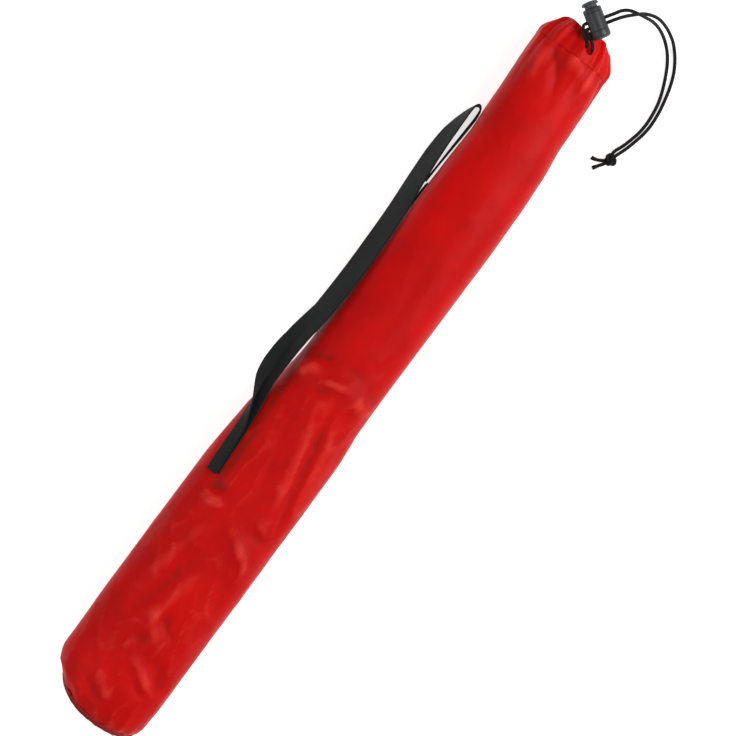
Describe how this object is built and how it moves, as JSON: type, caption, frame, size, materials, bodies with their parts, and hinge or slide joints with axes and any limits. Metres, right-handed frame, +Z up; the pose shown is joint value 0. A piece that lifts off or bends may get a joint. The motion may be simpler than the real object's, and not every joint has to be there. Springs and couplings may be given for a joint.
{
  "type": "packed windsock with pole",
  "caption": "Windsock rolled round its telescopic pole inside a red drawstring carry bag with a webbing strap and a sprung cord lock.",
  "frame": {"origin": "on the ground under the middle of the bag, on the flat underside that it lies on", "axes": "+X along the bag from its base to its drawstring mouth, +Y to the side that carries the strap, +Z up"},
  "size_m": [0.8081, 0.1515, 0.0745],
  "materials": {
    "bag_cloth": "coated woven nylon with a low sheen",
    "seam_binding": "folded binding tape",
    "webbing": "ribbed polypropylene webbing",
    "cord": "braided polyester",
    "lock_shell": "moulded satin",
    "lock_button": "moulded satin",
    "spring_steel": "drawn spring wire",
    "pole_alloy": "satin anodised",
    "pole_plastic": "moulded, fine spark-eroded texture",
    "bush_plastic": "natural moulded nylon",
    "foot_rubber": "moulded matt rubber",
    "sock_cloth": "ripstop nylon, rolled",
    "tie_tape": "hook and loop tape"
  },
  "bodies": {
    "bag": {"bag_body": "bag_cloth", "base_panel": "bag_cloth", "base_binding": "seam_binding", "mouth_hem": "bag_cloth", "casing_cord": "cord", "cord_strand_upper": "cord", "cord_strand_lower": "cord", "cord_knot": "cord", "cord_tail_1": "cord", "cord_tail_2": "cord", "strap_tab_lower": "webbing", "strap_tab_upper": "webbing"},
    "strap": {"carry_strap": "webbing"},
    "cord_lock": {"lock_barrel": "lock_shell", "lock_spring": "spring_steel"},
    "lock_button": {"lock_plunger": "lock_button"},
    "pole": {"pole_tube_lower": "pole_alloy", "pole_collar_lower": "pole_plastic", "pole_foot_plug": "pole_plastic", "pole_foot_tip": "foot_rubber"},
    "pole_middle": {"pole_tube_middle": "pole_alloy", "pole_collar_middle": "pole_plastic", "pole_bush_middle": "bush_plastic"},
    "pole_top": {"pole_tube_upper": "pole_alloy", "pole_bush_upper": "bush_plastic", "head_plug": "pole_plastic", "head_washer": "spring_steel", "head_screw": "spring_steel"},
    "head": {"head_hub": "pole_plastic"},
    "windsock": {"windsock_roll": "sock_cloth", "roll_tie_1": "tie_tape", "roll_tie_2": "tie_tape", "throat_hoop": "spring_steel"}
  },
  "joints": [
    {"name": "pole_draw", "type": "slide", "parent": "bag", "child": "pole", "axis": [1, 0, 0], "range_m": [0, 0.84], "deforming": ["windsock_roll", "roll_tie_1", "roll_tie_2", "throat_hoop"]},
    {"name": "windsock_off", "type": "slide", "parent": "pole", "child": "windsock", "axis": [1, 0, 0], "range_m": [0, 0.84], "deforming": ["windsock_roll", "roll_tie_1", "roll_tie_2", "throat_hoop"]},
    {"name": "pole_extend_middle", "type": "slide", "parent": "pole", "child": "pole_middle", "axis": [1, 0, 0], "range_m": [0, 0.5]},
    {"name": "pole_extend_upper", "type": "slide", "parent": "pole_middle", "child": "pole_top", "axis": [1, 0, 0], "range_m": [0, 0.5]},
    {"name": "head_spin", "type": "hinge", "parent": "pole_top", "child": "head", "pos_m": [0.3386, 0, 0.031], "axis": [1, 0, 0], "continuous": true},
    {"name": "lock_slide", "type": "slide", "parent": "bag", "child": "cord_lock", "axis": [0.8442, -0.5361, 0], "range_m": [0, 0.008]},
    {"name": "lock_press", "type": "slide", "parent": "cord_lock", "child": "lock_button", "axis": [-0.5361, -0.8442, 0], "range_m": [0, 0.0025], "stiffness_N_per_m": 900, "deforming": ["lock_spring"]},
    {"name": "strap_swing", "type": "hinge", "parent": "bag", "child": "strap", "pos_m": [0.264, 0.0423, 0.0143], "axis": [0.9931, -0.0106, -0.1172], "range_deg": [-20, 35], "deforming": ["carry_strap"]}
  ]
}
